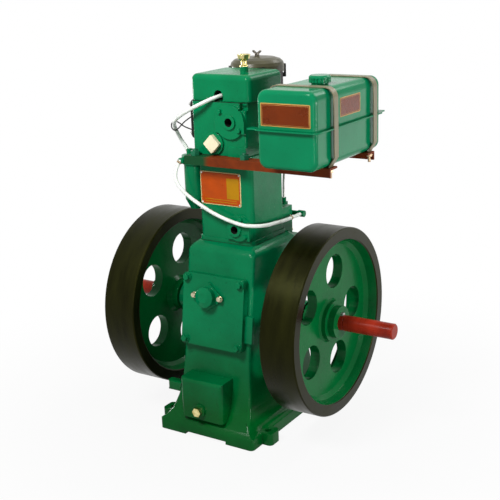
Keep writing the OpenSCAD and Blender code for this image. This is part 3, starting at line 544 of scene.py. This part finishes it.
CAM_FACE = Vector((0.0, 0.22, 0.488))
CAM_BOLT_X, CAM_BOLT_Z = 0.08, 0.072
CAM_PLACES = [(x, z) for x in (-1, 0, 1) for z in SIDES] + [(x, 0) for x in SIDES]
bolts("cam_cover_bolts",
    [CAM_FACE + Vector((x * CAM_BOLT_X, 0, z * CAM_BOLT_Z)) for x, z in CAM_PLACES],
    BACK, 0.017, 0.008, ENAMEL)

ELBOW_FACE = Vector((-0.052, 0.11, 0.962))
ELBOW_BOLT = Vector((0.028, 0.0, 0.02))
bolts("elbow_bolts", [ELBOW_FACE + s * ELBOW_BOLT for s in SIDES], BACK, 0.015, 0.007, ZINC,
    washer=False)

PUMP_FACE = Vector((0.048, 0.202, 0.59))
PUMP_BOLT = Vector((0.013, 0.0, 0.0))
bolts("pump_bolts", [PUMP_FACE + s * PUMP_BOLT for s in SIDES], BACK, 0.011, 0.005, ZINC)

BEARING_X, BEARING_R = 0.15, 0.074
BEARING_ANGLES = [k * math.pi / 3 for k in range(6)]
bolts("bearing_bolts",
    [CRANK + Vector((s * BEARING_X, BEARING_R * math.cos(a), BEARING_R * math.sin(a)))
        for s in SIDES for a in BEARING_ANGLES],
    [(s, 0, 0) for s in SIDES for a in BEARING_ANGLES],
    0.015, 0.006, ENAMEL, washer=False)

EXHAUST_FACE = Vector((-0.118, -0.048, 0.998))
EXHAUST_DEPTH = 0.012
STUD_Y, STUD_Z = 0.031, 0.046


def make_exhaust_studs():
    """A stud with its nut and washer at each corner of the flange."""
    bm = bmesh.new()
    for y in SIDES:
        for z in SIDES:
            place = at(EXHAUST_FACE + Vector((0, y * STUD_Y, z * STUD_Z)), LEFT, 2.3 * z)
            hex_head(bm, place, 0.015, 0.007, 0.019)
            stud_end(bm, place, 0.009, 0.008, 0.014)
    add_piece("exhaust_studs", bm, [STEEL])


def make_soot_and_shade_disc():
    """Soot and painted shade at the blind end of the exhaust bore, thinning towards its edge."""
    bm = bmesh.new()
    profile = [(0.0, 0.0), (0.0188, 0.0), (0.0184, 0.0006), (0.012, 0.0011), (0.0, 0.0013)]
    revolve(bm, profile, 40, at(EXHAUST_FACE + Vector((EXHAUST_DEPTH, 0, 0)), LEFT))
    add_piece("exhaust_soot_and_shade", bm, [BLACK])


def make_hose_clips():
    """A worm-drive clip near each hose end: a round band and its screw box."""
    r = TUBE_D / 2
    half, bite, lip, crown = 0.0035, 0.0004, 0.0008, 0.0012
    band = [(r - bite, -half), (r + lip, -half), (r + crown, 0.0), (r + lip, half), (r - bite, half),
        (r - bite, -half)]
    screw = [(0, -0.006), (0.0026, -0.006), (0.0026, 0.004), (0.0034, 0.004), (0.0034, 0.0075),
        (0.0026, 0.0085), (0, 0.0085)]
    bm = bmesh.new()
    for route, end in ((RETURN_ROUTE, -4), (FUEL_ROUTE, 3), (FUEL_ROUTE, -7)):
        points = smooth_route(route)
        place = at(points[end], points[end + 1] - points[end], 0.6)
        revolve(bm, band, 28, place)
        box = place @ Matrix.Translation((r + 0.0005, 0, 0)) @ Matrix.Rotation(math.pi / 2, 4, "X")
        revolve(bm, screw, 12, box)
    add_piece("hose_clips", bm, [BROWNED])


make_exhaust_studs()
# The dark disc in the exhaust bore is soot and painted shade
make_soot_and_shade_disc()
make_hose_clips()


def make_nameplate():
    """A printed plate on four rivets: an orange field, an ochre block and a bright border."""
    wide, high = 0.151, 0.1065
    border, rivet_in = 0.0028, 0.0055
    dome = [(0, 0.0012), (0.0032, 0.0012), (0.0029, 0.0024), (0.0017, 0.0032), (0, 0.0035)]
    place = at((-0.0125, -0.1, 0.78675), FRONT)
    bm = bmesh.new()
    rounded_slab(bm, wide, high, 0.0012, 0.006, place, 0)
    rounded_slab(bm, wide - 2 * border, high - 2 * border, 0.0004, 0.0036, place, 1, 0.0011)
    block = place @ Matrix.Translation((wide * 0.305, high * 0.025, 0))
    rounded_slab(bm, wide * 0.3, high * 0.62, 0.0003, 0.001, block, 2, 0.0014)
    for row in (-0.33, -0.4):
        line = place @ Matrix.Translation((0, high * row, 0))
        rounded_slab(bm, wide * 0.78, 0.0022, 0.0003, 0.0008, line, 2, 0.0014)
    for x in SIDES:
        for y in SIDES:
            spot = Matrix.Translation((x * (wide / 2 - rivet_in), y * (high / 2 - rivet_in), 0))
            revolve(bm, dome, 16, place @ spot, 3)
    add_piece("nameplate", bm, [PALE_GOLD, ORANGE, OCHRE, STEEL])


# Layers of a panel: how much smaller, thickness, corner radius, ink and height

PANEL_LAYERS = [(0.0, 0.0006, 0.003, 0, 0.0), (0.005, 0.0002, 0.002, 1, 0.00055),
    (0.010, 0.0002, 0.0015, 0, 0.0007), (0.0115, 0.0002, 0.0012, 1, 0.00085)]


def make_panel(name, place, wide, high):
    """A printed panel: a maroon field in a double gold line."""
    bm = bmesh.new()
    for less, thick, corner, ink, lift in PANEL_LAYERS:
        rounded_slab(bm, wide - less, high - less, thick, corner, place, ink, lift)
    add_piece(name, bm, [GOLD, MAROON])


make_nameplate()
make_panel("tank_front_panel", at((0.2995, -0.222, 1.051), FRONT), 0.161, 0.066)
make_panel("tank_side_panel", at((0.396, -0.012, 1.0577), RIGHT), 0.129, 0.0555)


def make_gasket(name, wide, deep, corner, middle, height, proud=0.0006):
    """A gasket's edge that shows all round a joint."""
    half, lap = 0.0008, 0.004
    bm = bmesh.new()
    rings = []
    for grow, z in ((proud, -half), (proud, half), (-lap, half), (-lap, -half)):
        outline = round_rect(wide, deep, corner, grow)
        rings.append([bm.verts.new((middle[0] + x, middle[1] + y, height + z)) for x, y in outline])
    for low, top in zip(rings, rings[1:] + rings[:1]):
        join_rings(bm, low, top)
    add_piece(name, bm, [GASKET])


HEAD_JOINT = (0.198, 0.205, 0.010, (-0.007, -0.0025))
BLOCK_JOINT = (0.206, 0.208, 0.020, (0.0, 0.0))
make_gasket("head_gasket", *HEAD_JOINT, 0.8935)
make_gasket("cylinder_gasket", *BLOCK_JOINT, 0.6135)
make_gasket("cover_gasket", *HEAD_JOINT, 1.0592, proud=0.0003)


def shade_painted_bore(name, mouth, radius, depth):
    """The inside of a bore that opens to the front is painted dark: bare oily iron and painted shade.
    """
    mesh = NODES[name].data
    mesh.materials.append(BLACK)
    dark = len(mesh.materials) - 1
    for face in mesh.polygons:
        reach = face.center - Vector(mouth)
        if math.hypot(reach.x, reach.z) < radius * 1.01 and 0.0 < reach.y < depth + NEAR:
            face.material_index = dark


PORT_R, PORT_DEPTH = 0.013, 0.062
SLOT_R, SLOT_DEPTH = 0.0195, 0.046
# Painted shade: these bores are painted dark inside, for their bare iron and the shade in their depth
shade_painted_bore("cylinder_head", (0.037, -0.119, 1.0), PORT_R, PORT_DEPTH)
shade_painted_bore("cylinder_block", (0.043, -0.119, 0.663), PORT_R, PORT_DEPTH)
shade_painted_bore("rocker_cover", (-0.0105, -0.093, 1.074), SLOT_R, SLOT_DEPTH)


# Floor, background and light

def backdrop_share(nodes, links):
    """1 for rays from the camera and for those that a glossy or clear surface sends on, otherwise 0."""
    path = nodes.new("ShaderNodeLightPath")
    sums = [nodes.new("ShaderNodeMath"), nodes.new("ShaderNodeMath")]
    for node in sums:
        node.operation = "MAXIMUM"
    links.new(path.outputs["Is Glossy Ray"], sums[0].inputs[0])
    links.new(path.outputs["Is Transmission Ray"], sums[0].inputs[1])
    links.new(path.outputs["Is Camera Ray"], sums[1].inputs[0])
    links.new(sums[0].outputs[0], sums[1].inputs[1])
    return sums[1].outputs[0]


def make_stage():
    """A pale floor that keeps the shadow near the object and turns plain white further out."""
    t = Tree("pale_floor", Roughness=0.9, Specular_IOR_Level=0.0)
    tint = t.ramp(t.noise(3.0), [(0.3, (0.53, 0.53, 0.53)), (0.7, (0.56, 0.56, 0.56))])
    t.link(tint, t.shader.inputs["Base Color"])
    glow = t.nodes.new("ShaderNodeEmission")
    shade = t.nodes.new("ShaderNodeMixShader")
    reach = t.nodes.new("ShaderNodeVectorMath")
    reach.operation = "LENGTH"
    t.link(t.place, reach.inputs[0])
    far = t.nodes.new("ShaderNodeMapRange")
    far.interpolation_type = "SMOOTHSTEP"
    for socket, value in (("From Min", 0.3), ("From Max", 1.5), ("To Min", 0.91), ("To Max", 1.0)):
        far.inputs[socket].default_value = value
    t.link(reach.outputs["Value"], far.inputs["Value"])
    share = t.nodes.new("ShaderNodeMath")
    share.operation = "MULTIPLY"
    t.link(backdrop_share(t.nodes, t.links), share.inputs[0])
    t.link(far.outputs["Result"], share.inputs[1])
    t.link(share.outputs[0], shade.inputs["Fac"])
    t.link(t.shader.outputs[0], shade.inputs[1])
    t.link(glow.outputs[0], shade.inputs[2])
    t.link(shade.outputs[0], t.nodes["Material Output"].inputs["Surface"])
    half = 14.0
    corners = [(x * half, y * half, 0) for x, y in ((-1, -1), (1, -1), (1, 1), (-1, 1))]
    mesh = bpy.data.meshes.new("floor")
    mesh.from_pydata(corners, [], [(0, 1, 2, 3)])
    mesh.materials.append(t.material)
    floor = bpy.data.objects.new("floor", mesh)
    scene.collection.objects.link(floor)


def make_world():
    world = bpy.data.worlds.new("studio")
    world.use_nodes = True
    nodes, links = world.node_tree.nodes, world.node_tree.links
    back = nodes["Background"]
    back.inputs["Color"].default_value = (*WHITE, 1.0)
    level = nodes.new("ShaderNodeMapRange")
    level.inputs["To Min"].default_value = 0.14
    level.inputs["To Max"].default_value = 1.0
    links.new(backdrop_share(nodes, links), level.inputs["Value"])
    links.new(level.outputs["Result"], back.inputs["Strength"])
    scene.world = world


def make_light(name, place, aim, wide, watts):
    """A round lamp that lights the object and stays out of the picture."""
    light = bpy.data.lights.new(name, "AREA")
    light.shape = "DISK"
    light.size = wide
    light.energy = watts
    lamp = bpy.data.objects.new(name, light)
    lamp.matrix_world = at(place, Vector(place) - Vector(aim))
    lamp.visible_camera = False
    scene.collection.objects.link(lamp)


make_stage()
make_world()

# Lamps: place, point aimed at, diameter and watts

make_light("key", (-0.2, -1.8, 2.5), (0, -0.1, 0.85), 0.8, 60)
make_light("right", (3.2, -0.2, 0.8), (0, 0, 0.75), 0.5, 40)
make_light("top", (0.2, 0.4, 3.4), (0, 0, 0.6), 2.0, 12)
make_light("rear", (1.1, 2.2, 2.9), (0, 0, 0.7), 1.4, 36)
make_light("left", (-2.9, 0.4, 0.8), (0, 0, 0.75), 0.5, 22)
make_light("corner", (1.7, -2.3, 0.6), (0, 0, 0.8), 0.4, 6)
make_light("back", (1.9, 2.4, 0.4), (0.3, 0, 0.9), 1.2, 7)
